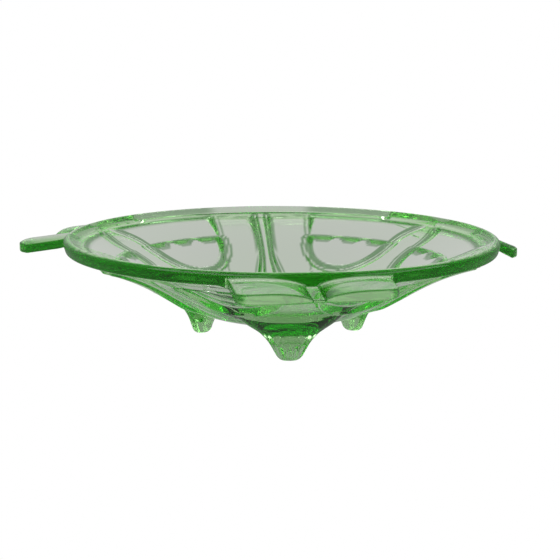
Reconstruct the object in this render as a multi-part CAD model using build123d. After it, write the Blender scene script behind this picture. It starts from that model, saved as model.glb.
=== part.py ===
from build123d import *

import os

# A pressed glass dish: a shallow flared bowl with a thick rim, three open-book tab handles,
# three stub feet under them, three double ribs half way between, and petal panels sunk into
# its underside. It is one pressing; each file here is one region of it, and the regions meet
# face to face. Millimetres, +Z up. The shape is drawn above the table the feet stand on, and
# every region is then lowered so that the origin is the middle of the flat floor of the well.

# Driving dimensions
RIM_RADIUS = 112.0
RIM_HEIGHT = 55.0
HANDLE_RADIUS = 139.5
FOOT_CIRCLE_RADIUS = 46.5
WELL_HEIGHT = 17.4
UNDERSIDE_HEIGHT = 12.6
FLAT_RADIUS = 22.0
REPEATS = 3

# Bowl wall, as radius and height; the wall is 4 to 5 mm thick
LIP_HEIGHT = 6.6
LIP_CHAMFER = 1.0
CROWN_WIDTH = 2.2
CROWN_DEPTH = 2.0
CROWN_MIDDLE = 0.6
INSIDE_SLOPE = 0.5
LIP_CORNER = (RIM_RADIUS - LIP_CHAMFER, RIM_HEIGHT - LIP_HEIGHT)
OUTER_WALL = [(FLAT_RADIUS, UNDERSIDE_HEIGHT), (50.0, 19.3), (81.5, 37.3), LIP_CORNER]
OUTER_SLOPES = [(1.0, 0.0), (1.0, 0.25)]
CROWN_INSIDE = (RIM_RADIUS - 4.8, RIM_HEIGHT - 1.0)
INNER_WALL = [(FLAT_RADIUS, WELL_HEIGHT), (50.0, 24.9), (80.0, 41.2), CROWN_INSIDE]
INNER_SLOPES = [(1.0, 0.0), (1.0, INSIDE_SLOPE)]
CROWN_RADIUS = RIM_RADIUS - CROWN_WIDTH
BAND_RADIUS = 102.0

# Double rib, standing on the underside
RIB_HEIGHT = 1.7
RIB_WIDTH = 4.2
RIB_GAP = 2.4
RIB_START_RADIUS = 50.0
RIB_END_RADIUS = RIM_RADIUS - 2.0
RIB_FLARE_RADIUS = 66.0
RIB_FLARE = 3.0
RIB_TAPER = 0.8

# Petal panels, sunk into the underside
PANEL_DEPTH = 0.8
FAN_DEPTH = 1.3
FAN_RADIUS = 86.0
FAN_ROUND_RADIUS = 24.0
FAN_LEAN_ANGLE = 17.0
PANEL_RIM_RADIUS = 101.0
PETAL_SIDE = 26.5
HALF_REPEAT_ANGLE = 180.0 / REPEATS
PETAL_MARGIN_ANGLE = 1.2

# Handle: a tab with two domed lobes, a valley between them and a flat underside. Each handle
# droops by its own amount at its outer edge, and is twisted so that one end is a little higher
# than its middle. Its sides run into the rim in hollow curves.
HANDLE_HALF_WIDTH = 36.8
HANDLE_WAIST_HALF_WIDTH = 37.4
HANDLE_WAIST_RADIUS = 112.0
WING_RADIUS = 98.0
WING_HALF_WIDTH = 42.5
WING_SLOPES = [(-1.0, 0.0), (-0.85, 0.53)]
HANDLE_ROOT_RADIUS = 88.0
HANDLE_UNDERSIDE = RIM_HEIGHT - 8.0
HANDLE_DROOPS = {"front": 0.9, "right": 11.2, "left": 5.0}
HANDLE_TWISTS = {"front": 0.8, "right": 0.8, "left": 0.0}
LOBE_THICKNESS = 5.4
LOBE_END_DROP = 0.6
VALLEY_THICKNESS = 1.6
VALLEY_HALF_WIDTH = 3.0
LOBE_MIDDLE = 22.0
NOTCH_DEPTH = 2.2
HANDLE_CORNER = 8.0
CORNER_BULGE = 2.34
EDGE_SWEEP = 0.8

# Feet, a little out of line with the handles
FOOT_TURN = -2.0

# Foot, from the ground up: height, then size along and across the radius, then centre radius
FOOT_SECTIONS = [
    (0.0, 6.4, 8.6, FOOT_CIRCLE_RADIUS),
    (3.0, 9.4, 13.6, FOOT_CIRCLE_RADIUS),
    (9.0, 13.2, 21.0, FOOT_CIRCLE_RADIUS - 0.3),
    (14.0, 18.0, 30.0, FOOT_CIRCLE_RADIUS - 0.7),
    (18.0, 23.0, 43.0, FOOT_CIRCLE_RADIUS - 1.0),
    (26.0, 34.0, 64.0, FOOT_CIRCLE_RADIUS - 1.5),
]

TALL = 4 * RIM_HEIGHT


def wall_line(points, slopes, shift=0.0):
    """The flat middle and the curved wall of one side of the bowl, moved up by shift."""
    moved = [(radius, height + shift) for radius, height in points]
    return Line((0, moved[0][1]), moved[0]) + Spline(*moved, tangents=slopes)


def turned(lines):
    """The solid that a closed outline of radius and height sweeps about the dish's axis."""
    return revolve(Plane.XZ * make_face(lines), Axis.Z)


def dish_wall():
    """The whole plain dish: underside, rounded lip and inside."""
    underside_end = OUTER_WALL[-1]
    inside_end = INNER_WALL[-1]
    face_low = (RIM_RADIUS, underside_end[1] + LIP_CHAMFER)
    face_high = (RIM_RADIUS, RIM_HEIGHT - CROWN_DEPTH)
    crown_middle = (RIM_RADIUS - CROWN_MIDDLE, RIM_HEIGHT - CROWN_MIDDLE)
    lip = (
        Line(underside_end, face_low)
        + Line(face_low, face_high)
        + ThreePointArc(face_high, crown_middle, (CROWN_RADIUS, RIM_HEIGHT))
        + Spline((CROWN_RADIUS, RIM_HEIGHT), inside_end, tangents=[(-1.0, 0.0), (-1.0, -INSIDE_SLOPE)])
    )
    underside = wall_line(OUTER_WALL, OUTER_SLOPES)
    inside = wall_line(INNER_WALL, INNER_SLOPES)
    axis_line = Line((0, UNDERSIDE_HEIGHT), (0, WELL_HEIGHT))
    return turned(underside + lip + inside + axis_line)


def underside_layer(low, high):
    """A shell that follows the underside, from low to high above it."""
    edge = OUTER_WALL[-1]
    return turned(
        wall_line(OUTER_WALL, OUTER_SLOPES, low)
        + Line((edge[0], edge[1] + low), (edge[0], edge[1] + high))
        + wall_line(OUTER_WALL, OUTER_SLOPES, high)
        + Line((0, UNDERSIDE_HEIGHT + low), (0, UNDERSIDE_HEIGHT + high))
    )


def upright(outline):
    """A tall prism on a closed plan outline."""
    return extrude(make_face(outline), TALL)


def rib_bar(side):
    """The plan of one of a double rib's two bars, which lies along +X and splays at its foot."""
    near = side * RIB_GAP / 2
    far = side * (RIB_GAP / 2 + RIB_WIDTH)
    foot_near = near + side * RIB_FLARE / 2
    foot_far = far + side * RIB_FLARE
    return Polyline(
        (RIB_END_RADIUS, near),
        (RIB_FLARE_RADIUS, near * RIB_TAPER),
        (RIB_START_RADIUS, foot_near),
        (RIB_START_RADIUS, foot_far),
        (RIB_FLARE_RADIUS, far * RIB_TAPER),
        (RIB_END_RADIUS, far),
        close=True,
    )


def petal(side, inner_radius, outer_radius):
    """A petal between two radii, beside the double rib along +X and up to the handle's middle line."""
    blank = upright(
        Line((0, side * PETAL_SIDE), (RIM_RADIUS, side * PETAL_SIDE))
        + Line((RIM_RADIUS, side * PETAL_SIDE), (RIM_RADIUS, side * TALL))
        + Line((RIM_RADIUS, side * TALL), (0, side * TALL))
        + Line((0, side * TALL), (0, side * PETAL_SIDE))
    )
    wedge_angle = HALF_REPEAT_ANGLE - PETAL_MARGIN_ANGLE
    beyond = Rot(0, 0, side * wedge_angle) * Box(
        TALL, TALL, TALL, align=(Align.CENTER, Align.MIN if side > 0 else Align.MAX, Align.MIN)
    )
    ring = Cylinder(outer_radius, TALL, align=(Align.CENTER, Align.CENTER, Align.MIN))
    hole = Cylinder(inner_radius, TALL, align=(Align.CENTER, Align.CENTER, Align.MIN))
    return (blank & ring) - hole - beyond


def fan(side):
    """The half-moon below the panel, with its round bottom."""
    middle_angle = side * (HALF_REPEAT_ANGLE + FAN_LEAN_ANGLE) / 2
    round_bottom = Rot(0, 0, middle_angle) * Pos(FAN_RADIUS, 0, 0) * Cylinder(
        FAN_ROUND_RADIUS, TALL, align=(Align.CENTER, Align.CENTER, Align.MIN)
    )
    return petal(side, FLAT_RADIUS, FAN_RADIUS) & round_bottom


def repeat_angle(index):
    return index * 360.0 / REPEATS


def handle_section(radius, full_droop, full_twist):
    """A cross-section of a handle that lies along +X, at a distance from the axis."""
    share = (radius - RIM_RADIUS) / (HANDLE_RADIUS - RIM_RADIUS)
    half = WING_HALF_WIDTH + HANDLE_CORNER
    lobe_end = LOBE_THICKNESS - LOBE_END_DROP
    valley = VALLEY_THICKNESS
    right = [
        Spline(
            (VALLEY_HALF_WIDTH, valley), (LOBE_MIDDLE, LOBE_THICKNESS), (HANDLE_HALF_WIDTH, lobe_end),
            tangents=[(0.6, 1.0), (1.0, 0.0)],
        ),
        Line((HANDLE_HALF_WIDTH, lobe_end), (half, lobe_end)),
        Line((half, lobe_end), (half, 0)),
    ]
    outline = (
        right
        + [mirror(edge, Plane.YZ) for edge in right]
        + [Line((-VALLEY_HALF_WIDTH, valley), (VALLEY_HALF_WIDTH, valley)), Line((-half, 0), (half, 0))]
    )
    underside = Plane(
        origin=(radius, 0, HANDLE_UNDERSIDE - full_droop * share),
        x_dir=(0, HANDLE_HALF_WIDTH, full_twist * share),
        z_dir=(1, 0, 0),
    )
    return underside * make_face(Curve() + outline)


def handle_plan():
    """The plan of a handle along +X: hollow sides, round corners and a shallow notch in its outer edge."""
    corner = HANDLE_RADIUS - EDGE_SWEEP - HANDLE_CORNER
    right = [
        Line((0, 0), (0, WING_HALF_WIDTH)),
        Line((0, WING_HALF_WIDTH), (WING_RADIUS, WING_HALF_WIDTH)),
        Spline(
            (HANDLE_WAIST_RADIUS, HANDLE_WAIST_HALF_WIDTH),
            (WING_RADIUS, WING_HALF_WIDTH),
            tangents=WING_SLOPES,
        ),
        Line((HANDLE_WAIST_RADIUS, HANDLE_WAIST_HALF_WIDTH), (corner, HANDLE_HALF_WIDTH)),
        ThreePointArc(
            (corner, HANDLE_HALF_WIDTH),
            (HANDLE_RADIUS - EDGE_SWEEP - CORNER_BULGE, HANDLE_HALF_WIDTH - CORNER_BULGE),
            (HANDLE_RADIUS - EDGE_SWEEP, HANDLE_HALF_WIDTH - HANDLE_CORNER),
        ),
        ThreePointArc(
            (HANDLE_RADIUS - EDGE_SWEEP, HANDLE_HALF_WIDTH - HANDLE_CORNER),
            (HANDLE_RADIUS, HANDLE_HALF_WIDTH / 2),
            (HANDLE_RADIUS - NOTCH_DEPTH, 0),
        ),
    ]
    half = make_face(Curve() + right + [Line((HANDLE_RADIUS - NOTCH_DEPTH, 0), (0, 0))])
    return half + mirror(half, Plane.XZ)


def handle(full_droop, full_twist):
    """A handle along +X, from the rim's outer face to its outer edge."""
    root = handle_section(HANDLE_ROOT_RADIUS, full_droop, full_twist)
    tip = handle_section(HANDLE_RADIUS, full_droop, full_twist)
    body = loft([root, tip])
    outline = extrude(handle_plan(), TALL)
    core = Cylinder(RIM_RADIUS, TALL, align=(Align.CENTER, Align.CENTER, Align.MIN))
    return (body & outline) - core


def foot():
    """One foot along +X, before the dish above it is taken away."""
    sections = [
        Pos(centre, 0, height) * Ellipse(along / 2, across / 2)
        for height, along, across, centre in FOOT_SECTIONS
    ]
    return loft(sections)


def save(name, shape):
    export_step(Pos(0, 0, -WELL_HEIGHT) * shape, f"parts/{name}.step")


os.makedirs("parts", exist_ok=True)

dish = dish_wall()
above_underside = turned(
    wall_line(OUTER_WALL, OUTER_SLOPES)
    + Line(OUTER_WALL[-1], (OUTER_WALL[-1][0], TALL))
    + Line((OUTER_WALL[-1][0], TALL), (0, TALL))
    + Line((0, TALL), (0, UNDERSIDE_HEIGHT))
)
inside_band = Cylinder(BAND_RADIUS, TALL, align=(Align.CENTER, Align.CENTER, Align.MIN))
panel_layer = underside_layer(-PANEL_DEPTH, PANEL_DEPTH)
fan_layer = underside_layer(-FAN_DEPTH, FAN_DEPTH)
rib_layer = underside_layer(-RIB_HEIGHT, 0.0)

bowl = dish & inside_band
rim = dish - inside_band

# Handles and feet point along -Y, and at 120 degrees either side; double ribs lie opposite them.
for index in range(REPEATS):
    rib_turn = Rot(0, 0, 90 + repeat_angle(index))
    for side in (1, -1):
        bowl = bowl - rib_turn * (panel_layer & petal(side, FAN_RADIUS, PANEL_RIM_RADIUS))
        bowl = bowl - rib_turn * (fan_layer & fan(side))

save("bowl_body", bowl)
save("rim_band", rim)

rib_bars = [rib_layer & upright(rib_bar(side)) for side in (1, -1)]
rib_pair = Compound(children=[bar.solid() for bar in rib_bars])
one_foot = foot() - above_underside

for index, place in enumerate(HANDLE_DROOPS):
    one_handle = handle(HANDLE_DROOPS[place], HANDLE_TWISTS[place])
    save(f"handle_{place}", Rot(0, 0, -90 + repeat_angle(index)) * one_handle)
    save(f"foot_{place}", Rot(0, 0, -90 + repeat_angle(index) + FOOT_TURN) * one_foot)
for index, place in enumerate(("back", "left", "right")):
    save(f"rib_pair_{place}", Rot(0, 0, 90 + repeat_angle(index)) * rib_pair)
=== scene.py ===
import bpy
import math
import numpy as np
from mathutils import Matrix, Vector


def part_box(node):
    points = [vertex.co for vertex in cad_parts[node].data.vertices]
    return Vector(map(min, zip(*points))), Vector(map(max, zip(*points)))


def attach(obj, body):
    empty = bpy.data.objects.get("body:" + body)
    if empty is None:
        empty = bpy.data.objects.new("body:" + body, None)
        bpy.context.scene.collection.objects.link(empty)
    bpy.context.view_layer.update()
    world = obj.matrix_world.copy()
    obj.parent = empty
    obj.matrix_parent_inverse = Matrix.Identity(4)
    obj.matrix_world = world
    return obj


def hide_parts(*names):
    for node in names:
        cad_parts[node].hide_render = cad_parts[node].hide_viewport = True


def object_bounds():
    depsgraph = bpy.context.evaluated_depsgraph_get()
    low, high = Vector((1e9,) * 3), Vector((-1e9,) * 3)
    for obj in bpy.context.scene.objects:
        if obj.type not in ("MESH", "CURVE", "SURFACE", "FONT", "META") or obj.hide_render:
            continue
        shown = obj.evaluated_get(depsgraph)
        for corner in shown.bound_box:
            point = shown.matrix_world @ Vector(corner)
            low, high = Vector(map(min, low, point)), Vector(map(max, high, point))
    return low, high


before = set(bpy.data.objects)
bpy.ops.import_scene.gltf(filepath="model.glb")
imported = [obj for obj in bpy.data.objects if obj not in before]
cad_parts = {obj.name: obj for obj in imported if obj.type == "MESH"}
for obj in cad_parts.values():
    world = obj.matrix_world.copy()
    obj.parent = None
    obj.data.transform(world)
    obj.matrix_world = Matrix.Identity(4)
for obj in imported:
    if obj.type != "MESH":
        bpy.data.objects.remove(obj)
CAD_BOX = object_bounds()

# The dish is drawn in millimetres above the table, then set on the frame in metres.
MM = 0.001
SIDES = 3
HALF = math.pi / SIDES
TABLE = CAD_BOX[0].z / MM
RIM_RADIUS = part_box("rim_band")[1].x / MM
RIM_TOP = CAD_BOX[1].z / MM - TABLE
HANDLE_EDGE = -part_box("handle_front")[0].y / MM
BAND_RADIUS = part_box("bowl_body")[1].x / MM
WING_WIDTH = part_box("handle_front")[1].x / MM
HANDLE_NAMES = ("front", "right", "left")
FOOT_CENTRE = 46.5
FOOT_TURN = math.radians(-2.0)
WELL = 17.4
UNDERSIDE = 12.6
FLAT_RADIUS = 22.0
# The grids of points stop here, and a fan of triangles closes them
MIDDLE_RADIUS = 2.5

# Rim: a rounded crown and a slightly swollen outer face
CROWN_WIDTH = 2.6
CROWN_DEPTH = 2.4
FACE_SWELL = 0.7

# Handle: every handle's underside starts at one height, droops to its own edge height and is
# twisted a little, so that one end is higher; the lowest corner is three quarters of the twist down
UNDERSIDE_DROP = 8.0
TWISTS = (0.8, 0.8, 0.0)
EDGE_HEIGHTS = [
    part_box("handle_" + name)[0].z / MM - TABLE + 0.75 * twist for name, twist in zip(HANDLE_NAMES, TWISTS)
]
WAIST_WIDTH = 37.4
WAIST_REACH = 112.0
EDGE_WIDTH = 36.8
LOBE_THICKNESS = 5.4
LOBE_END_DROP = 0.6
LOBE_MIDDLE = 22.0
VALLEY_THICKNESS = 1.5
VALLEY_HALF = 2.8
NOTCH = 2.2
EDGE_SWEEP = 0.8
EDGE_ROUND = 1.1
PLAN_CORNER = 8.0
HANDLE_ROWS = 26
EDGE_STEPS = 9

# Relief on the underside
RIB_HEIGHT = 1.7
RIB_TOP_RADIUS = 107.5
RIB_FOOT_RADIUS = 50.0
PETAL_SIDE = 25.7
MID_RADIUS = 86.5
FAN_CENTRE = math.radians(35.35)
FAN_HALF_WIDTH = 26.8
FAN_REACH = 24.5
PANEL_DEPTH = 2.5
PANEL_SHALLOW = 0.7
FAN_DEPTH = 2.6
FAN_SHALLOW = 1.3
FLUTES = 5
BEVEL = 0.64
FLUTE_BEVELS = (1.7, 0.45)
BEAD_HEIGHT = 1.1
BEAD_HALF = 1.6
SIDE_PANEL_DEPTH = 0.55

# Foot: height, size along and across the radius, centre radius
FOOT_SECTIONS = np.array([
    (0.0, 6.0, 8.2, FOOT_CENTRE),
    (0.9, 7.8, 10.8, FOOT_CENTRE),
    (3.0, 9.2, 13.8, FOOT_CENTRE),
    (5.4, 10.6, 16.4, FOOT_CENTRE - 0.1),
    (9.0, 13.0, 21.0, FOOT_CENTRE - 0.3),
    (11.5, 15.2, 25.2, FOOT_CENTRE - 0.5),
    (14.0, 18.0, 30.5, FOOT_CENTRE - 0.7),
    (17.0, 22.0, 40.0, FOOT_CENTRE - 0.8),
    (24.0, 30.0, 58.0, FOOT_CENTRE - 0.8),
])
FOOT_FLUTES = 18
FLUTE_SWELL = 0.09
# Half the angle of the patch of underside that is joined up round a foot
FOOT_PATCH = math.radians(37)
# Roughly where a foot meets the wall: its half sizes along and across the radius, and its height
FOOT_TOP = (12.0, 21.0)
FOOT_TOP_HEIGHT = 16.0


class Curve:
    """A clamped cubic spline through a few points, with given end slopes."""

    def __init__(self, points, slopes):
        self.x, self.y = (np.array(v, float) for v in zip(*points))
        steps = np.diff(self.x)
        rises = np.diff(self.y) / steps
        size = len(self.x)
        system = np.eye(size)
        wanted = np.zeros(size)
        wanted[0], wanted[-1] = slopes
        for i in range(1, size - 1):
            system[i, i - 1:i + 2] = steps[i], 2 * (steps[i - 1] + steps[i]), steps[i - 1]
            wanted[i] = 3 * (rises[i - 1] * steps[i] + rises[i] * steps[i - 1])
        self.m = np.linalg.solve(system, wanted)

    def __call__(self, at):
        at = np.clip(at, self.x[0], self.x[-1])
        i = np.clip(np.searchsorted(self.x, at, side="right") - 1, 0, len(self.x) - 2)
        h = self.x[i + 1] - self.x[i]
        t = (at - self.x[i]) / h
        return (
            (2 * t**3 - 3 * t**2 + 1) * self.y[i]
            + (t**3 - 2 * t**2 + t) * h * self.m[i]
            + (3 * t**2 - 2 * t**3) * self.y[i + 1]
            + (t**3 - t**2) * h * self.m[i + 1]
        )


def smooth(value, low, high):
    """0 below low, 1 above high, and a smooth step between."""
    t = np.clip((value - low) / (high - low), 0, 1)
    return t * t * (3 - 2 * t)


def soft_min(a, b, width):
    """The lesser of two, with the corner between them rounded over a width."""
    h = np.clip(0.5 + 0.5 * (b - a) / width, 0, 1)
    return b + (a - b) * h - width * h * (1 - h)


CROWN_INSIDE = (RIM_RADIUS - 4.8, RIM_TOP - 1.0)
LIP_LOW = (RIM_RADIUS - 1.0, RIM_TOP - 6.6)
LIP_START = RIM_RADIUS - 2.0
LIP_ROUND = 1.5
outer_wall = Curve([(FLAT_RADIUS, UNDERSIDE), (50, 19.3), (81.5, 37.3), LIP_LOW], (0, 0.25))
inner_wall = Curve([(FLAT_RADIUS, WELL), (50, 24.9), (80, 41.2), CROWN_INSIDE], (0, 0.5))
rib_half_width = Curve([(46, 8.6), (57, 7.0), (69, 4.5), (80, 4.3), (RIM_RADIUS, 5.6)], (0, 0))
petal_side = Curve([(65, PETAL_SIDE), (85, PETAL_SIDE), (97, 27.0), (RIM_RADIUS, 29.2)], (0, 0.15))
petal_middle = Curve([(60, 11.5), (86.5, 11.5), (95, 10.8), (104, 6.3), (110, 2.5)], (0, -0.6))


def fan_bottom(angle):
    """Radius of the half-moon's round bottom at an angle from the double rib."""
    across = (angle - FAN_CENTRE) / (FAN_HALF_WIDTH / MID_RADIUS * 1.18)
    return MID_RADIUS - FAN_REACH * np.sqrt(np.clip(1 - across**2, 0.14, 1))


def band_edge(angle):
    """Radius where the wall's panels stop and the thick rim band starts; it swags between ribs."""
    return BAND_RADIUS + 2.6 + 1.8 * smooth(angle, 0.05, 0.27) - 0.6 * smooth(angle, 0.28, 0.36)


# Columns close up over a few millimetres either side of the petals' edge beside a handle's middle
LINE_ZONE = 3.4
LINE_COLUMN = 0.82
LINE_END_COLUMN = 0.94


def column_angle(column, radius):
    """Angle from the double rib of a grid column, 0 to 1, so that columns follow the relief's edges."""
    held = np.maximum(radius, RIB_FOOT_RADIUS)
    rib = np.arcsin(rib_half_width(held) / held)
    wide = np.maximum(held, 57.0)
    side = np.arcsin(petal_side(held) / wide)
    line = HALF - np.arcsin(petal_middle(held) / wide)
    around_line = np.minimum(LINE_ZONE, 0.7 * petal_middle(held)) / wide
    knots = (0.0, 0.16, 0.34, LINE_COLUMN, LINE_END_COLUMN, 1.0)
    angles = (0.0 * rib, rib, side, line - around_line, line + around_line, HALF + 0.0 * rib)
    out = np.zeros(np.broadcast(column, radius).shape)
    for a, b, low, high in zip(knots, knots[1:], angles, angles[1:]):
        inside = (column >= a) & (column <= b)
        out = np.where(inside, low + (high - low) * (column - a) / (b - a), out)
    return out


def recess(radius, angle):
    """How far the underside is pressed in at a radius and an angle from the double rib, 0 to HALF."""
    across = radius * np.sin(angle)
    to_centre_line = radius * np.sin(HALF - angle)
    from_side = across - petal_side(radius)
    from_line = to_centre_line - petal_middle(radius)
    from_band = band_edge(angle) - radius
    from_mid = radius - MID_RADIUS

    upper = soft_min(soft_min(from_side, from_line, 1.5), from_band, 1.0)
    up = np.clip(from_mid / (band_edge(angle) - MID_RADIUS), 0, 1)
    upper_facet = (PANEL_SHALLOW + (PANEL_DEPTH - PANEL_SHALLOW) * up) * smooth(from_mid, -0.4, 0.4)
    panel = soft_min(BEVEL * upper, upper_facet, 0.12)

    a = radius * np.sin(angle - FAN_CENTRE) / FAN_HALF_WIDTH
    b = (MID_RADIUS - radius * np.cos(angle - FAN_CENTRE)) / FAN_REACH
    from_arc = (1 - np.sqrt(a * a + b * b)) * (FAN_REACH + FAN_HALF_WIDTH) / 2
    down = np.clip(-from_mid / FAN_REACH, 0, 1)
    fan_facet = FAN_DEPTH + (FAN_SHALLOW - FAN_DEPTH) * down
    spoke = np.arctan2(a, np.clip(1.25 - b, 0.05, None)) / 1.35
    wave = 1 - (2 * np.mod(spoke * FLUTES / 2 + 0.5, 1) - 1) ** 2
    flute_bevel = FLUTE_BEVELS[0] + (FLUTE_BEVELS[1] - FLUTE_BEVELS[0]) * smooth(wave, 0.1, 0.9)
    fan = soft_min(soft_min(BEVEL * from_arc, flute_bevel * -from_mid, 0.12), fan_facet, 0.12)
    arc_bead = np.clip(1 - ((from_arc + BEAD_HALF) / BEAD_HALF) ** 2, 0, 1) * (from_mid < 0.5)
    line_bead = np.clip(1 - ((from_line + BEAD_HALF) / BEAD_HALF) ** 2, 0, 1)
    line_bead = line_bead * smooth(from_mid, -2, 0) * smooth(from_band, 0, 4) * (HALF - angle > 0.01)
    bead = BEAD_HEIGHT * np.maximum(arc_bead * smooth(-from_mid, -1, 1), line_bead)

    in_side_panel = soft_min(
        soft_min(from_side * -1 - 1.2, across - rib_half_width(radius) - 0.9, 0.8),
        soft_min(band_edge(angle) - 1.0 - radius, radius - 47.0, 0.8),
        0.8,
    )
    side_panel = soft_min(BEVEL * in_side_panel, SIDE_PANEL_DEPTH + 0 * radius, 0.15)
    return np.maximum(np.maximum(panel, fan), np.maximum(side_panel, 0)) - bead


def rib_rise(radius, angle):
    """How far the double rib stands out of the underside."""
    across = radius * np.sin(angle) / rib_half_width(radius)
    roof = np.clip(1 - np.abs(across - 0.62) / 0.38, 0, 1)
    ridge = soft_min(1.25 * roof, 1 + 0 * roof, 0.3)
    floor = 0.18 * (across < 0.62)
    ends = smooth(radius, RIB_FOOT_RADIUS - 1, RIB_FOOT_RADIUS + 9)
    ends = ends * (1 - smooth(radius, RIB_TOP_RADIUS - 2.5, RIB_TOP_RADIUS))
    return RIB_HEIGHT * ends * np.maximum(ridge, floor) * (across < 1)


def place(radius, angle, height):
    """Points in the frame, in metres; the angle runs from the front handle towards +X."""
    return np.stack(
        [radius * np.sin(angle) * MM, -radius * np.cos(angle) * MM, (height + TABLE) * MM + 0 * radius],
        axis=-1,
    )


class Shell:
    """The pressing's whole skin as one set of points, with each face tagged by the piece it belongs to."""

    def __init__(self):
        self.points = []
        self.count = 0
        self.faces = {}
        self.joints = {}

    def add(self, points):
        points = np.asarray(points, float)
        ids = self.count + np.arange(points[..., 0].size).reshape(points.shape[:-1])
        self.points.append(points.reshape(-1, 3))
        self.count += ids.size
        return ids

    def skin(self, piece, faces):
        self.faces.setdefault(piece, []).append(np.asarray(faces).reshape(-1, 4))

    def joint(self, inner, outer, faces):
        """Faces where two pieces meet, facing away from inner."""
        faces = np.asarray(faces).reshape(-1, 4)
        self.joints.setdefault(inner, []).append(faces)
        turned = np.where(faces[:, 2:3] == faces[:, 3:4], faces[:, [1, 0, 2, 2]], faces[:, ::-1])
        self.joints.setdefault(outer, []).append(turned)


def quads(grid, flip=False):
    """Quads of a grid of point ids; flip turns them over."""
    faces = np.stack([grid[:-1, :-1], grid[:-1, 1:], grid[1:, 1:], grid[1:, :-1]], axis=-1)
    return faces[..., ::-1] if flip else faces


# Columns: one half repeat, mirrored at each double rib and each handle's middle
RIB_COLUMNS = 16
half_columns = np.concatenate([
    np.linspace(0, 0.16, RIB_COLUMNS + 1)[:-1],
    np.linspace(0.16, 0.34, 19)[:-1],
    np.linspace(0.34, LINE_COLUMN, 53)[:-1],
    np.linspace(LINE_COLUMN, LINE_END_COLUMN, 17)[:-1],
    np.linspace(LINE_END_COLUMN, 1.0, 11),
])
HALF_COUNT = len(half_columns) - 1
COLUMNS = 2 * SIDES * HALF_COUNT
repeat, within = np.divmod(np.arange(COLUMNS) + HALF_COUNT, 2 * HALF_COUNT)
# Column 0 is the front handle's middle; fold is the column counted from the nearest double rib.
before = within <= HALF_COUNT
fold = np.where(before, within, 2 * HALF_COUNT - within)
fold_sign = np.where(before, 1.0, -1.0)
rib_angle = np.where(before, 2 * repeat - 1, 2 * repeat + 1) * HALF


def grid_angles(radius):
    """The angle from the nearest rib, and the angle round the dish, of every column."""
    angle = column_angle(half_columns[fold][None, :], radius)
    return angle, rib_angle[None, :] + fold_sign[None, :] * angle


def ring(rows):
    """Closes a grid of point ids round the dish."""
    return np.concatenate([rows, rows[:, :1]], axis=1)


def eased(count, start=True, end=True):
    """Fractions from 0 to 1, closer together at the ends that ask for it."""
    t = np.linspace(0, 1, count + 1)
    if start and end:
        return (1 - np.cos(math.pi * t)) / 2
    return 1 - np.cos(math.pi * t / 2) if start else np.sin(math.pi * t / 2)


def underside_radius():
    """Radius of every underside row and column, from the lip to the middle, along the relief's edges."""
    guess = np.full((1, COLUMNS), MID_RADIUS)
    angle = grid_angles(guess)[0]
    keys = [
        (np.full_like(angle, LIP_START), np.linspace(0, 1, 8)),
        (band_edge(angle), np.linspace(0, 1, 5)),
        (np.full_like(angle, BAND_RADIUS), eased(28)),
        (np.full_like(angle, MID_RADIUS), eased(30)),
        (fan_bottom(angle), eased(26, True, False)),
        (np.full_like(angle, FLAT_RADIUS + 5), np.linspace(0, 1, 11)),
        (np.full_like(angle, MIDDLE_RADIUS), None),
    ]
    rows = []
    marks = []
    for (outer, steps), (inner, _) in zip(keys, keys[1:]):
        marks.append(len(rows))
        rows += [outer + (inner - outer) * t for t in steps[:-1]]
    rows.append(keys[-1][0])
    return np.concatenate(rows), marks


def handle_offset(angle_round):
    """Distance across the nearest handle's middle line, on the rim."""
    off = np.mod(angle_round + HALF, 2 * HALF) - HALF
    return RIM_RADIUS * np.sin(off)


def lobe_share(across):
    """0 in a handle's valley, 1 on top of its lobes, and a little less at their outer ends."""
    off = np.abs(across)
    rise = np.clip(1 - ((LOBE_MIDDLE - off) / (LOBE_MIDDLE - VALLEY_HALF)) ** 2, 0, 1) ** 0.6
    end = np.clip((off - LOBE_MIDDLE) / (EDGE_WIDTH - LOBE_MIDDLE), 0, 1) ** 2
    fall = LOBE_END_DROP / (LOBE_THICKNESS - VALLEY_THICKNESS)
    return np.where(off < LOBE_MIDDLE, np.where(off < VALLEY_HALF, 0, rise), 1 - fall * end)


def handle_bottom(share, across, side):
    """Height of a handle's underside; share runs from 0 at the rim to 1 at its edge."""
    root = RIM_TOP - UNDERSIDE_DROP
    return root + (EDGE_HEIGHTS[side] + TWISTS[side] * across / EDGE_WIDTH - root) * share


def handle_top(share, across, side):
    """Height of a handle's upper side, with a small fillet where it leaves the rim."""
    fillet = np.clip(1 - share / 0.12, 0, 1) ** 2
    thickness = VALLEY_THICKNESS + (LOBE_THICKNESS - VALLEY_THICKNESS) * lobe_share(across)
    return handle_bottom(share, across, side) + thickness + 0.5 * fillet


def in_handle(across):
    """1 where the rim carries a handle, fading to 0 beyond its ends."""
    return 1 - smooth(np.abs(across), EDGE_WIDTH, WING_WIDTH + 5)


def edge_profile(top, bottom, radius):
    """Outward share of the radius and height of each step down a rounded edge."""
    turn = np.concatenate([np.linspace(0, math.pi / 2, 5), np.linspace(math.pi / 2, 0, 5)])
    steps = np.arange(EDGE_STEPS + 1)[:, None]
    curl = radius * (1 - np.cos(turn))[:, None]
    height = np.where(steps < 5, top - curl, bottom + curl)
    return np.sin(turn)[:, None] + 0 * height, height


shell = Shell()

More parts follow.
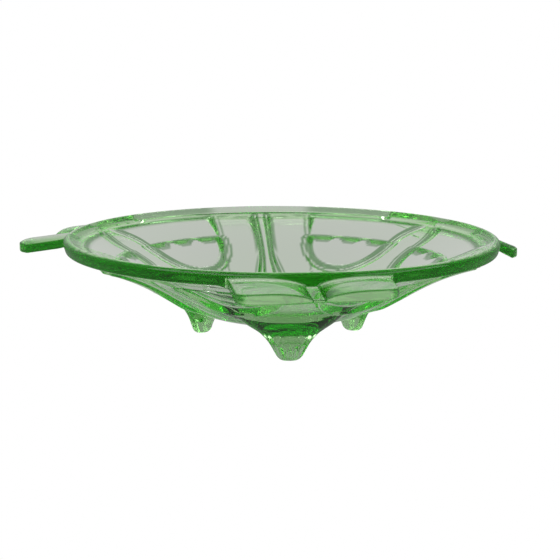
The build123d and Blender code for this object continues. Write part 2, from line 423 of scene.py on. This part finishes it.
# Inside: from the band to the middle of the well
wall_rows = np.linspace(BAND_RADIUS, FLAT_RADIUS + 2, 66)
floor_rows = np.linspace(FLAT_RADIUS, MIDDLE_RADIUS, 6)
inside_rows = np.concatenate([wall_rows, floor_rows])[:, None]
inside_r = inside_rows + np.zeros((1, COLUMNS))
_, inside_theta = grid_angles(inside_r)
inside_z = np.where(inside_r > FLAT_RADIUS, inner_wall(inside_r), WELL)
inside_ids = shell.add(place(inside_r, inside_theta, inside_z))
inside_middle = shell.add(place(np.zeros(1), np.zeros(1), np.full(1, WELL)))
shell.skin("bowl_body", quads(ring(inside_ids)))

# Underside
under_r, marks = underside_radius()
under_angle, under_theta = grid_angles(under_r)
under_base = np.where(under_r > FLAT_RADIUS, outer_wall(under_r), UNDERSIDE) + recess(under_r, under_angle)
across = handle_offset(under_theta)
rim_share = smooth(under_r, BAND_RADIUS - 0.5, LIP_START - 0.5) * in_handle(across)
under_z = under_base + (handle_bottom(0.0, 0.0, 0) - under_base) * rim_share
under_ids = shell.add(place(under_r, under_theta, under_z))
under_middle = shell.add(place(np.zeros(1), np.zeros(1), np.full(1, UNDERSIDE)))


def fan_of(ids, middle, flip=False):
    """Triangles from a closed row of ids to one middle point, as quads with a repeated corner."""
    after = np.roll(ids, -1)
    first, second = (after, ids) if flip else (ids, after)
    mid = np.full_like(ids, middle[0])
    return np.stack([first, second, mid, mid], axis=-1)


shell.skin("bowl_body", fan_of(inside_ids[-1], inside_middle))
shell.skin("bowl_body", fan_of(under_ids[-1], under_middle, flip=True))

# Lip: from the inside of the band over the crown and down the outer face
lip_across = handle_offset(under_theta[:1])
share = in_handle(lip_across)
rise = np.linspace(BAND_RADIUS, CROWN_INSIDE[0], 7)[1:, None] + np.zeros((1, COLUMNS))
rise_z = inner_wall(rise)
crown_radius = RIM_RADIUS - CROWN_WIDTH
crown_low = RIM_TOP - CROWN_DEPTH
t = np.linspace(0, 1, 5)[1:, None]
to_crown_r = CROWN_INSIDE[0] + (crown_radius - CROWN_INSIDE[0]) * t + np.zeros((1, COLUMNS))
to_crown_z = RIM_TOP - (RIM_TOP - CROWN_INSIDE[1]) * (1 - t) ** 2 + np.zeros((1, COLUMNS))
bend = np.linspace(0, math.pi / 2, 9)[1:-1, None]
over_r = crown_radius + CROWN_WIDTH * np.sin(bend) + np.zeros((1, COLUMNS))
top_z = crown_low + (handle_top(np.zeros(1), lip_across, 0) - crown_low) * share
over_z = top_z + (RIM_TOP - top_z) * np.cos(bend)
plain_low_z = LIP_LOW[1] + LIP_ROUND
low_z = plain_low_z + (handle_bottom(0.0, 0.0, 0) + 0.2 - plain_low_z) * share
face_t = np.linspace(0, 1, EDGE_STEPS + 1)[:, None]
face_z = top_z + (low_z - top_z) * face_t
face_r = RIM_RADIUS - FACE_SWELL * face_t**2 * (1 - share)
under_lip_r = LIP_START + (face_r[-1:] - LIP_START) * np.cos(bend)
corner_z = low_z - np.sin(bend) * (low_z - under_z[:1])
lip_r = np.concatenate([rise, to_crown_r, over_r, face_r, under_lip_r])
lip_z = np.concatenate([rise_z, to_crown_z, over_z, face_z, corner_z])
_, lip_theta = grid_angles(lip_r)
lip_ids = shell.add(place(lip_r, lip_theta, lip_z))
face_start = len(rise) + len(to_crown_r) + len(over_r)
face_rows = slice(face_start, face_start + EDGE_STEPS + 1)
rim_rows = np.concatenate([inside_ids[:1], lip_ids, under_ids[:marks[2] + 1]])

# The columns that a handle spans at the rim
handle_half_count = int(np.argmin(np.abs(lip_across[0, :HALF_COUNT] - WING_WIDTH)))
is_joint = np.zeros((len(rim_rows) - 1, COLUMNS), bool)
for side in range(SIDES):
    middle = 2 * HALF_COUNT * side
    span = np.arange(middle - handle_half_count, middle + handle_half_count) % COLUMNS
    is_joint[1 + face_start:1 + face_start + EDGE_STEPS, span] = True

# Which underside cells each double rib covers
rise_mm = rib_rise(under_r, under_angle)
rib_rows = np.where((rise_mm > 1e-6).any(axis=1))[0]
rib_first, rib_last = rib_rows.min() - 1, rib_rows.max() + 1
cell_fold = np.maximum(fold, np.roll(fold, -1))
rib_cell = np.zeros((len(under_ids) - 1, COLUMNS), bool)
rib_cell[rib_first:rib_last, :] = (cell_fold <= RIB_COLUMNS)[None, :]

# Which cells each foot's patch replaces
foot_first, foot_last = marks[4] + 1, marks[5] - 1
foot_half_count = int(np.argmin(np.abs(
    under_theta[(foot_first + foot_last) // 2, :HALF_COUNT] - FOOT_PATCH
)))
foot_cell = np.zeros_like(rib_cell)
for side in range(SIDES):
    middle = 2 * HALF_COUNT * side
    span = np.arange(middle - foot_half_count, middle + foot_half_count) % COLUMNS
    foot_cell[foot_first:foot_last, span] = True

under_quads = quads(ring(under_ids), flip=True)
split = marks[2]
plain = ~(rib_cell | foot_cell)
shell.skin("bowl_body", under_quads[split:][plain[split:]])
rim_quads = quads(ring(rim_rows), flip=True)
rim_plain = ~is_joint
lip_count = len(rim_rows) - 1 - split
rim_plain[lip_count:] &= plain[:split]
shell.skin("rim_band", rim_quads[rim_plain])
shell.joint("bowl_body", "rim_band", quads(ring(np.stack([inside_ids[0], under_ids[split]])), flip=True))

for side, name in enumerate(HANDLE_NAMES):
    middle = 2 * HALF_COUNT * side
    node = "handle_" + name
    columns = np.arange(middle - handle_half_count, middle + handle_half_count + 1) % COLUMNS
    root = lip_ids[face_rows][:, columns]
    shell.joint("rim_band", node, quads(root, flip=True))
    root_t = lip_across[0, columns]
    root_s = np.sqrt(RIM_RADIUS**2 - root_t**2)
    root_top, root_low = top_z[0, columns], low_z[0, columns]
    q = root_t / root_t[-1]
    p = np.linspace(0, 1, HANDLE_ROWS + 1)[1:, None]
    side_reach = root_s[-1] + (HANDLE_EDGE - EDGE_SWEEP - root_s[-1]) * p
    hollow = np.clip((WAIST_REACH - side_reach) / (WAIST_REACH - root_s[-1]), 0, 1) ** 2.2
    taper = np.clip((side_reach - WAIST_REACH) / (HANDLE_EDGE - WAIST_REACH), 0, 1)
    width = WAIST_WIDTH + (root_t[-1] - WAIST_WIDTH) * hollow + (EDGE_WIDTH - WAIST_WIDTH) * taper
    width = width - EDGE_ROUND * smooth(p, 0, 0.2)
    t_grid = q[None, :] * width
    off = np.abs(t_grid)
    corner = np.clip((off - (width - PLAN_CORNER)) / PLAN_CORNER, 0, 1)
    lobe = EDGE_WIDTH / 2
    edge_s = (
        HANDLE_EDGE
        - EDGE_ROUND
        - NOTCH * np.clip(1 - off / lobe, 0, 1) ** 2
        - EDGE_SWEEP * np.clip((off - lobe) / (lobe - PLAN_CORNER), 0, 1) ** 2
        - PLAN_CORNER * (1 - np.sqrt(1 - corner**2 * 0.98))
    )
    s_grid = root_s[None, :] + (edge_s - root_s[None, :]) * p
    settle = np.clip(1 - p / 0.3, 0, 1) ** 2
    start = np.zeros(1)
    top = handle_top(p + 0 * t_grid, t_grid, side) + settle * (root_top - handle_top(start, root_t, side))
    bottom = handle_bottom(p, t_grid, side) + settle * (root_low - handle_bottom(0.0, 0.0, side))

    def on_handle(s, t, z):
        return place(np.hypot(s, t), np.arctan2(t, s) + side * 2 * HALF, z)

    top_ids = np.concatenate([root[:1], shell.add(on_handle(s_grid, t_grid, top))])
    bottom_ids = np.concatenate([root[-1:], shell.add(on_handle(s_grid, t_grid, bottom))])
    shell.skin(node, quads(top_ids, flip=True))
    shell.skin(node, quads(bottom_ids))

    def around(grid, left, right):
        """Walks a grid's free edge: out along one side, across the outer edge, back along the other."""
        return np.concatenate([[left], grid[:-1, 0], grid[-1, :], grid[:-1, -1][::-1], [right]])

    path_s = around(s_grid, root_s[0], root_s[-1])
    path_t = around(t_grid, root_t[0], root_t[-1])
    path_top = around(top, lip_z[face_rows][0, columns[0]], lip_z[face_rows][0, columns[-1]])
    path_bottom = around(bottom, lip_z[face_rows][-1, columns[0]], lip_z[face_rows][-1, columns[-1]])
    ds, dt = np.gradient(path_s), np.gradient(path_t)
    length = np.hypot(ds, dt)
    from_root = np.minimum(path_s - path_s[0], 60)
    fade = smooth(from_root, 0, 5)
    round_radius = np.minimum(EDGE_ROUND, 0.48 * (path_top - path_bottom)) * (0.6 + 0.4 * fade)
    out, height = edge_profile(path_top[None, :], path_bottom[None, :], round_radius[None, :])
    reach = out * round_radius[None, :] * fade[None, :]
    edge_ids = np.empty((EDGE_STEPS + 1, len(path_s)), int)
    edge_ids[0] = np.concatenate([top_ids[:-1, 0], top_ids[-1, :], top_ids[:-1, -1][::-1]])
    edge_ids[-1] = np.concatenate([bottom_ids[:-1, 0], bottom_ids[-1, :], bottom_ids[:-1, -1][::-1]])
    edge_ids[:, 0] = root[:, 0]
    edge_ids[:, -1] = root[:, -1]
    edge_ids[1:-1, 1:-1] = shell.add(on_handle(
        (path_s + reach * dt / length)[1:-1, 1:-1],
        (path_t - reach * ds / length)[1:-1, 1:-1],
        height[1:-1, 1:-1],
    ))
    shell.skin(node, quads(edge_ids, flip=True))

# The double ribs, by the number of half repeats from the front handle
RIB_NAMES = {1: "right", 3: "back", 5: "left"}
for odd, name in RIB_NAMES.items():
    node = "rib_pair_" + name
    middle = HALF_COUNT * odd
    columns = np.arange(middle - RIB_COLUMNS, middle + RIB_COLUMNS + 1) % COLUMNS
    base = under_ids[rib_first:rib_last + 1][:, columns]
    low = base.copy()
    r, theta = under_r[rib_first:rib_last + 1][:, columns], under_theta[rib_first:rib_last + 1][:, columns]
    z = (under_z - rise_mm)[rib_first:rib_last + 1][:, columns]
    low[1:-1, 1:-1] = shell.add(place(r, theta, z)[1:-1, 1:-1])
    shell.skin(node, quads(low, flip=True))
    in_rim = split - rib_first
    shell.joint("rim_band", node, quads(base, flip=True)[:in_rim])
    shell.joint("bowl_body", node, quads(base, flip=True)[in_rim:])


def foot_curve(which):
    """A foot's size along (1) or across (2) the radius, against height."""
    heights, sizes = FOOT_SECTIONS[:, 0], FOOT_SECTIONS[:, which]
    last_slope = (sizes[-1] - sizes[-2]) / (heights[-1] - heights[-2])
    first_slope = 1.5 * (sizes[1] - sizes[0]) / (heights[1] - heights[0])
    return Curve(FOOT_SECTIONS[:, [0, which]], (first_slope, last_slope))


foot_curves = [foot_curve(1), foot_curve(2)]


def foot_point(turn, height, swell=0.0):
    """Point of a foot's surface, as distance along and across the handle's middle line."""
    half_along, half_across = (0.5 * curve(height) for curve in foot_curves)
    centre = np.interp(height, FOOT_SECTIONS[:, 0], FOOT_SECTIONS[:, 3])
    s = centre + half_along * (1 + swell) * np.cos(turn)
    t = half_across * (1 + swell) * np.sin(turn)
    turned_s = s * math.cos(FOOT_TURN) - t * math.sin(FOOT_TURN)
    turned_t = s * math.sin(FOOT_TURN) + t * math.cos(FOOT_TURN)
    return turned_s, turned_t


foot_s, foot_t = FOOT_CENTRE * math.cos(FOOT_TURN), FOOT_CENTRE * math.sin(FOOT_TURN)

for side, name in enumerate(HANDLE_NAMES):
    node = "foot_" + name
    middle = 2 * HALF_COUNT * side
    columns = np.arange(middle - foot_half_count, middle + foot_half_count + 1) % COLUMNS
    patch = under_ids[foot_first:foot_last + 1][:, columns]
    walk = np.concatenate([patch[0, :-1], patch[:-1, -1], patch[-1, :0:-1], patch[:0:-1, 0]])

    def values(grid):
        g = grid[foot_first:foot_last + 1][:, columns]
        return np.concatenate([g[0, :-1], g[:-1, -1], g[-1, :0:-1], g[:0:-1, 0]])

    walk_r, walk_theta = values(under_r), values(under_theta) - side * 2 * HALF
    walk_s, walk_t = walk_r * np.cos(walk_theta), walk_r * np.sin(walk_theta)
    turn = np.unwrap(np.arctan2((walk_t - foot_t) / FOOT_TOP[1], (walk_s - foot_s) / FOOT_TOP[0]))
    even = turn[0] + np.linspace(0, 2 * math.pi, len(turn), endpoint=False)
    turn = 0.5 * (turn + even)
    top = np.full(len(turn), FOOT_TOP_HEIGHT)
    for _ in range(40):
        s, t = foot_point(turn, top)
        top = 0.5 * top + 0.5 * outer_wall(np.hypot(s, t))
    s, t = foot_point(turn, top)

    def on_foot(s, t, z):
        return place(np.hypot(s, t), np.arctan2(t, s) + side * 2 * HALF, z)

    def under_height(s, t):
        r = np.hypot(s, t)
        return np.where(r > FLAT_RADIUS, outer_wall(r), UNDERSIDE) + recess(
            r, np.clip(HALF - np.abs(np.arctan2(t, s)), 0, HALF)
        )

    mix = np.linspace(0, 1, 9)[1:, None]
    flat_s, flat_t = walk_s + (s - walk_s) * mix, walk_t + (t - walk_t) * mix
    flat_height = under_height(flat_s, flat_t)
    flat_ids = np.concatenate([walk[None, :], shell.add(on_foot(flat_s, flat_t, flat_height))])
    shell.skin("bowl_body", quads(ring(flat_ids), flip=True))

    drop = eased(26, False, True)[1:, None]
    height = top * (1 - drop)
    wave = np.abs(np.cos(math.pi * FOOT_FLUTES * np.arange(len(turn)) / len(turn)))
    window = smooth(height, 0.0, 1.2) * (1 - smooth(height, 14.5, 17.0))
    window = window * (1 - 0.6 * smooth(height, 5.0, 10.0))
    swell = FLUTE_SWELL * (wave - 0.6) * window
    low_s, low_t = foot_point(turn[None, :], height, swell)
    low_ids = np.concatenate([flat_ids[-1:], shell.add(on_foot(low_s, low_t, height))])
    shell.skin(node, quads(ring(low_ids), flip=True))
    shrink = np.array([0.66, 0.33])[:, None]
    cap_s = foot_s + (low_s[-1] - foot_s) * shrink
    cap_t = foot_t + (low_t[-1] - foot_t) * shrink
    cap_ids = np.concatenate([low_ids[-1:], shell.add(on_foot(cap_s, cap_t, 0 * cap_s))])
    cap_middle = shell.add(on_foot(np.array([foot_s]), np.array([foot_t]), np.zeros(1)))
    shell.skin(node, quads(ring(cap_ids), flip=True))
    shell.skin(node, fan_of(cap_ids[-1], cap_middle, flip=True))
    shrink = np.linspace(1, 0, 7)[1:-1, None]
    lid_s = foot_s + (s - foot_s) * shrink
    lid_t = foot_t + (t - foot_t) * shrink
    lid_height = outer_wall(np.hypot(lid_s, lid_t))
    lid_ids = np.concatenate([flat_ids[-1:], shell.add(on_foot(lid_s, lid_t, lid_height))])
    lid_middle = shell.add(on_foot(
        np.array([foot_s]), np.array([foot_t]), outer_wall(np.array([FOOT_CENTRE]))
    ))
    shell.joint("bowl_body", node, quads(ring(lid_ids), flip=True))
    shell.joint("bowl_body", node, fan_of(lid_ids[-1], lid_middle, flip=True))


# Painted shade: lines of deeper green on the inside, where refraction shows the steep edges of the relief a
# little further out
PAINTED_LINE_SHADE = 0.7
LINE_SHIFT = 4.0
LINE_REACH = 0.6
BAND_TINT = 0.5
# Deeper green under the wall and round the feet, out to these distances along and across
UNDER_TINT = 0.3
FOOT_TINT = 0.55
FOOT_HALO = (17.0, 30.0)
HANDLE_TINT = 0.2


def inside_painted_shade_and_band(points):
    """Painted shade where refraction shows the relief's steep edges, and deeper green over the thick band
    above the petals.
    """
    radius = np.maximum(np.hypot(points[:, 0], points[:, 1]) / MM, FLAT_RADIUS)
    round_angle = np.arctan2(points[:, 0], -points[:, 1])
    samples = []
    for out, side in ((-1, 0), (1, 0), (0, -1), (0, 1)):
        r = radius + LINE_SHIFT + LINE_REACH * out
        angle = np.abs(np.mod(round_angle + LINE_REACH * side / radius, 2 * HALF) - HALF)
        samples.append(recess(r, angle) - rib_rise(r, angle))
    spread = np.max(samples, axis=0) - np.min(samples, axis=0)
    steep = spread / (2 * LINE_REACH * BEVEL)
    # Painted shade: dark lines where the relief's steep edges show through the wall
    painted_lines = smooth(steep, 0.25, 0.9) * smooth(radius, 48.0, 54.0)
    angle = np.abs(np.mod(round_angle, 2 * HALF) - HALF)
    band = smooth(radius + LINE_SHIFT / 2 - band_edge(angle), -1.0, 1.5) * smooth(angle, 0.22, 0.3)
    return np.maximum(PAINTED_LINE_SHADE * painted_lines, BAND_TINT * band)


def near_foot(points):
    """1 on the feet and on the underside just round them, fading to 0."""
    radius = np.hypot(points[:, 0], points[:, 1]) / MM
    off = np.mod(np.arctan2(points[:, 0], -points[:, 1]) - FOOT_TURN + HALF, 2 * HALF) - HALF
    along = (radius * np.cos(off) - FOOT_CENTRE) / FOOT_HALO[0]
    across = radius * np.sin(off) / FOOT_HALO[1]
    return 1 - smooth(np.hypot(along, across), 0.9, 1.4)


def outward_share(points, normals):
    """How much a surface faces away from the dish's axis, from -1 to 1."""
    radius = np.maximum(np.hypot(points[:, 0], points[:, 1]), MM)
    return (points[:, :2] * normals[:, :2]).sum(axis=1) / radius


def tint_and_painted_shade(name, points, normals):
    """0 where the wall is thin to 1 where the eye meets the thick rim or a handle's end, plus painted shade
    lines on the inside and a deeper upper edge on the handles' outer faces.
    """
    outward = outward_share(points, normals)
    facing_in = smooth(normals[:, 2], 0.3, 0.5) * smooth(-outward, 0.1, 0.3)
    if name == "rim_band":
        return np.maximum(smooth(outward, 0.1, 0.9), inside_painted_shade_and_band(points) * facing_in)
    if name.startswith("handle"):
        sideways = np.hypot(normals[:, 0], normals[:, 1]) - np.abs(outward)
        upper_edge = smooth(normals[:, 2], 0.12, 0.4) * smooth(outward, 0.25, 0.5)
        ends = np.maximum(smooth(sideways, 0.1, 0.5), upper_edge)
        return HANDLE_TINT + (1 - HANDLE_TINT) * ends
    if name.startswith("foot"):
        return FOOT_TINT * near_foot(points)
    underneath = 1 - smooth(normals[:, 2], -0.5, 0.0)
    depth_and_painted_shade = (UNDER_TINT + (FOOT_TINT - UNDER_TINT) * near_foot(points)) * underneath
    if name == "bowl_body":
        depth_and_painted_shade = depth_and_painted_shade + inside_painted_shade_and_band(points) * facing_in
    return depth_and_painted_shade


def painted_light_face(name, points, normals):
    """1 on the outer face of a handle, where painted light makes it look pale and clear, and 0 elsewhere.
    """
    if not name.startswith("handle"):
        return np.zeros(len(points))
    return smooth(outward_share(points, normals), 0.85, 0.97)


def read_faces(mesh):
    """Every face's normal and area, the point at every face corner, and the face it belongs to."""
    count = len(mesh.polygons)
    normal, area = np.empty(count * 3), np.empty(count)
    mesh.polygons.foreach_get("normal", normal)
    mesh.polygons.foreach_get("area", area)
    corner = np.empty(len(mesh.loops), int)
    mesh.loops.foreach_get("vertex_index", corner)
    total = np.empty(count, int)
    mesh.polygons.foreach_get("loop_total", total)
    return normal.reshape(-1, 3), area, corner, np.repeat(np.arange(count), total)


def build_pieces(shell, materials):
    """One closed mesh per piece, with the whole skin's smooth normals so that no seam shows."""
    points = np.concatenate(shell.points)
    normals = np.zeros_like(points)
    made = {}
    for name in shell.faces:
        skin = np.concatenate(shell.faces[name])
        joint = np.concatenate(shell.joints[name])
        every = np.concatenate([skin, joint])
        used, compact = np.unique(every, return_inverse=True)
        compact = compact.reshape(every.shape)
        triangle = every[:, 2] == every[:, 3]
        faces = [f[:3] if tri else f for f, tri in zip(compact.tolist(), triangle.tolist())]
        mesh = bpy.data.meshes.new(name)
        mesh.from_pydata(points[used].tolist(), [], faces)
        mesh.materials.append(materials[0])
        mesh.materials.append(materials[1])
        kinds = np.concatenate([np.zeros(len(skin), int), np.ones(len(joint), int)])
        mesh.polygons.foreach_set("material_index", kinds)
        piece = bpy.data.objects.new(name, mesh)
        bpy.context.scene.collection.objects.link(piece)
        made[name] = (piece, used, kinds)
        normal, area, corner, owner = read_faces(mesh)
        weight = (normal * area[:, None])[owner]
        on_skin = (kinds == 0)[owner]
        np.add.at(normals, used[corner[on_skin]], weight[on_skin])
    normals /= np.maximum(np.linalg.norm(normals, axis=1), 1e-20)[:, None]
    for name, (piece, used, kinds) in made.items():
        mesh = piece.data
        for label, values_of in (("depth_and_painted_shade", tint_and_painted_shade), ("pale", painted_light_face)):
            attribute = mesh.attributes.new(label, "FLOAT", "POINT")
            attribute.data.foreach_set("value", values_of(name, points[used], normals[used]))
        mesh.polygons.foreach_set("use_smooth", [True] * len(mesh.polygons))
        normal, _, corner, owner = read_faces(mesh)
        on_joint = (kinds == 1)[owner]
        wanted = np.where(on_joint[:, None], normal[owner], normals[used[corner]])
        mesh.normals_split_custom_set(wanted.tolist())
        mesh.update()
    return {name: entry[0] for name, entry in made.items()}


def simple_nodes(owner):
    """The emptied nodes of a material or a world, and their links."""
    owner.use_nodes = True
    tree = owner.node_tree
    tree.nodes.clear()
    return tree.nodes, tree.links


def mixed(nodes, links, share, first, second):
    """A mix of two shaders, by a share that is a node's output."""
    mix = nodes.new("ShaderNodeMixShader")
    links.new(share, mix.inputs[0])
    links.new(first.outputs[0], mix.inputs[1])
    links.new(second.outputs[0], mix.inputs[2])
    return mix


def to_glass_or_eye(nodes, links, to_glass, to_eye):
    """One shader for light on its way through the glass, and another for what the camera sees first."""
    path = nodes.new("ShaderNodeLightPath")
    return mixed(nodes, links, path.outputs["Is Camera Ray"], to_glass, to_eye)


INDEX = 1.52
# How much of red, green and blue the glass takes away, per metre
ABSORB = (42.0, 8.0, 50.0)
# What is left of them however long the path is
LEAST = (0.42, 0.72, 0.34)
# Longer paths count for more than their share, from this length on, in metres
PATH_KNEE = 0.012
PATH_POWER = 1.65
# Colour of the first face that is met, where the glass is thin and where it is thick
THIN_COLOUR = (0.92, 1.0, 0.88, 1)
THICK_COLOUR = (0.01, 0.36, 0.006, 1)
# A dull green that is mixed in where the glass is thick
BODY_COLOUR = (0.014, 0.105, 0.007, 1)
BODY_SHARE = 0.62
# Painted light: a pale green that is mixed in on the outer faces of the handles, so that they look lit
# through
PAINTED_LIGHT_COLOUR = (0.52, 0.66, 0.45, 1)
PAINTED_LIGHT_SHARE = 0.55


def glass_material():
    """Green glass that darkens light by the length of its path inside."""
    material = bpy.data.materials.new("uranium_green_glass")
    nodes, links = simple_nodes(material)

    def calculate(operation, *values):
        node = nodes.new("ShaderNodeMath")
        node.operation = operation
        for socket, value in zip(node.inputs, values):
            if isinstance(value, float):
                socket.default_value = value
            else:
                links.new(value, socket)
        return node.outputs[0]

    path = nodes.new("ShaderNodeLightPath")
    geometry = nodes.new("ShaderNodeNewGeometry")
    inside_length = calculate("MULTIPLY", path.outputs["Ray Length"], geometry.outputs["Backfacing"])
    knees = calculate("MULTIPLY", inside_length, 1 / PATH_KNEE)
    weighted = calculate("POWER", knees, PATH_POWER)
    combine = nodes.new("ShaderNodeCombineColor")
    for channel, loss, least in zip(combine.inputs, ABSORB, LEAST):
        left = calculate("EXPONENT", calculate("MULTIPLY", weighted, -loss * PATH_KNEE))
        links.new(calculate("MULTIPLY_ADD", left, 1 - least, least), channel)
    glass = nodes.new("ShaderNodeBsdfGlass")
    glass.inputs["IOR"].default_value = INDEX
    glass.inputs["Roughness"].default_value = 0.0
    links.new(combine.outputs[0], glass.inputs["Color"])

    # Glass tint by thickness, with painted shade lines where the relief's edges show through the inside
    depth_and_painted_shade = nodes.new("ShaderNodeAttribute")
    depth_and_painted_shade.attribute_name = "depth_and_painted_shade"
    pale = nodes.new("ShaderNodeAttribute")
    pale.attribute_name = "pale"
    tint = nodes.new("ShaderNodeMix")
    tint.data_type = "RGBA"
    tint.inputs[6].default_value = THIN_COLOUR
    tint.inputs[7].default_value = THICK_COLOUR
    links.new(depth_and_painted_shade.outputs["Fac"], tint.inputs[0])
    first = nodes.new("ShaderNodeBsdfPrincipled")
    links.new(tint.outputs[2], first.inputs["Base Color"])
    first.inputs["Roughness"].default_value = 0.0
    first.inputs["IOR"].default_value = INDEX
    first.inputs["Transmission Weight"].default_value = 1.0
    body = nodes.new("ShaderNodeBsdfDiffuse")
    body.inputs["Color"].default_value = BODY_COLOUR
    # Painted light: a pale diffuse green on the handles' outer faces
    painted_light_body = nodes.new("ShaderNodeBsdfDiffuse")
    painted_light_body.inputs["Color"].default_value = PAINTED_LIGHT_COLOUR
    body_share = calculate("MULTIPLY", depth_and_painted_shade.outputs["Fac"], BODY_SHARE)
    deep = mixed(nodes, links, body_share, first, body)
    painted_light_share = calculate("MULTIPLY", pale.outputs["Fac"], PAINTED_LIGHT_SHARE)
    seen = mixed(nodes, links, painted_light_share, deep, painted_light_body)
    whole = to_glass_or_eye(nodes, links, glass, seen)
    output = nodes.new("ShaderNodeOutputMaterial")
    links.new(whole.outputs[0], output.inputs["Surface"])
    return material


def joint_material():
    """The faces where two regions of the same pressing meet, which are not there in the glass."""
    material = bpy.data.materials.new("inner_joint")
    nodes, links = simple_nodes(material)
    clear = nodes.new("ShaderNodeBsdfTransparent")
    output = nodes.new("ShaderNodeOutputMaterial")
    links.new(clear.outputs[0], output.inputs["Surface"])
    return material


pieces = build_pieces(shell, (glass_material(), joint_material()))
for name, piece in pieces.items():
    piece.name = name + "_glass"
    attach(piece, "root")
    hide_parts(name)


ROOM_FRONT = (0.17, 0.25, 0.15, 1)
ROOM_BACK = (0.62, 0.62, 0.62, 1)
TABLE_LIGHT = (0.53, 0.53, 0.53, 1)
WHITE = (1, 1, 1, 1)
FLOOR_SIZE = 12.0
FLOOR_GAP = 0.05 * MM


def pale_floor():
    """A floor just under the feet: plain white to the eye, soft grey to the glass, clear from below."""
    mesh = bpy.data.meshes.new("floor")
    half = FLOOR_SIZE / 2
    z = CAD_BOX[0].z - FLOOR_GAP
    corners = [(-half, -half, z), (half, -half, z), (half, half, z), (-half, half, z)]
    mesh.from_pydata(corners, [], [(0, 1, 2, 3)])
    floor = bpy.data.objects.new("floor", mesh)
    bpy.context.scene.collection.objects.link(floor)
    material = bpy.data.materials.new("pale_floor")
    nodes, links = simple_nodes(material)
    seen = nodes.new("ShaderNodeEmission")
    seen.inputs["Color"].default_value = WHITE
    given = nodes.new("ShaderNodeEmission")
    given.inputs["Color"].default_value = TABLE_LIGHT
    from_above = to_glass_or_eye(nodes, links, given, seen)
    side_seen = nodes.new("ShaderNodeNewGeometry")
    clear = nodes.new("ShaderNodeBsdfTransparent")
    one_sided = mixed(nodes, links, side_seen.outputs["Backfacing"], from_above, clear)
    output = nodes.new("ShaderNodeOutputMaterial")
    links.new(one_sided.outputs[0], output.inputs["Surface"])
    mesh.materials.append(material)


def room():
    """Surroundings that are plain white to the eye, and to the glass a dim front and a light back."""
    world = bpy.data.worlds.new("studio")
    bpy.context.scene.world = world
    nodes, links = simple_nodes(world)
    seen = nodes.new("ShaderNodeBackground")
    seen.inputs["Color"].default_value = WHITE
    given = nodes.new("ShaderNodeBackground")
    coordinate = nodes.new("ShaderNodeTexCoord")
    split_axes = nodes.new("ShaderNodeSeparateXYZ")
    links.new(coordinate.outputs["Generated"], split_axes.inputs[0])
    ramp = nodes.new("ShaderNodeMapRange")
    ramp.interpolation_type = "SMOOTHSTEP"
    ramp.inputs["From Min"].default_value = -0.7
    ramp.inputs["From Max"].default_value = 0.9
    links.new(split_axes.outputs["Y"], ramp.inputs["Value"])
    shade = nodes.new("ShaderNodeMix")
    shade.data_type = "RGBA"
    shade.inputs[6].default_value = ROOM_FRONT
    shade.inputs[7].default_value = ROOM_BACK
    links.new(ramp.outputs[0], shade.inputs[0])
    links.new(shade.outputs[2], given.inputs["Color"])
    whole = to_glass_or_eye(nodes, links, given, seen)
    output = nodes.new("ShaderNodeOutputWorld")
    links.new(whole.outputs[0], output.inputs["Surface"])


def soft_light(name, position, size, energy):
    """A rectangular lamp that faces the middle of the dish."""
    data = bpy.data.lights.new(name, "AREA")
    data.shape = "RECTANGLE"
    data.size, data.size_y = size
    data.energy = energy
    lamp = bpy.data.objects.new(name, data)
    lamp.location = position
    lamp.rotation_euler = (Vector((0, 0, 0)) - Vector(position)).to_track_quat("-Z", "Y").to_euler()
    bpy.context.scene.collection.objects.link(lamp)


def camera():
    """Eight rim radii away, eleven degrees up, a little to the left of the front handle's middle."""
    distance = 8.0 * RIM_RADIUS * MM
    elevation, turn, roll = math.radians(10.6), math.radians(-7.0), math.radians(0.28)
    aim = Vector((0, 0, (0.25 * RIM_RADIUS + TABLE) * MM))
    back = Vector((
        math.sin(turn) * math.cos(elevation), -math.cos(turn) * math.cos(elevation), math.sin(elevation)
    ))
    data = bpy.data.cameras.new("camera")
    data.lens = 111.0
    data.sensor_width = 36.0
    data.shift_x = -0.0028
    data.shift_y = 0.012
    data.clip_end = 50
    cam = bpy.data.objects.new("camera", data)
    cam.location = aim + distance * back
    facing = (-back).to_track_quat("-Z", "Y").to_matrix()
    cam.rotation_euler = (facing @ Matrix.Rotation(roll, 3, "Z")).to_euler()
    bpy.context.scene.collection.objects.link(cam)
    bpy.context.scene.camera = cam


pale_floor()
room()
soft_light("key", (-0.7, -0.6, 1.0), (1.5, 0.8), 14)
soft_light("fill", (0.9, -0.5, 0.7), (1.2, 0.6), 7)
camera()
scene = bpy.context.scene
scene.view_settings.view_transform = "Standard"
scene.cycles.max_bounces = 28
scene.cycles.glossy_bounces = 20
scene.cycles.transmission_bounces = 24
scene.cycles.transparent_max_bounces = 32
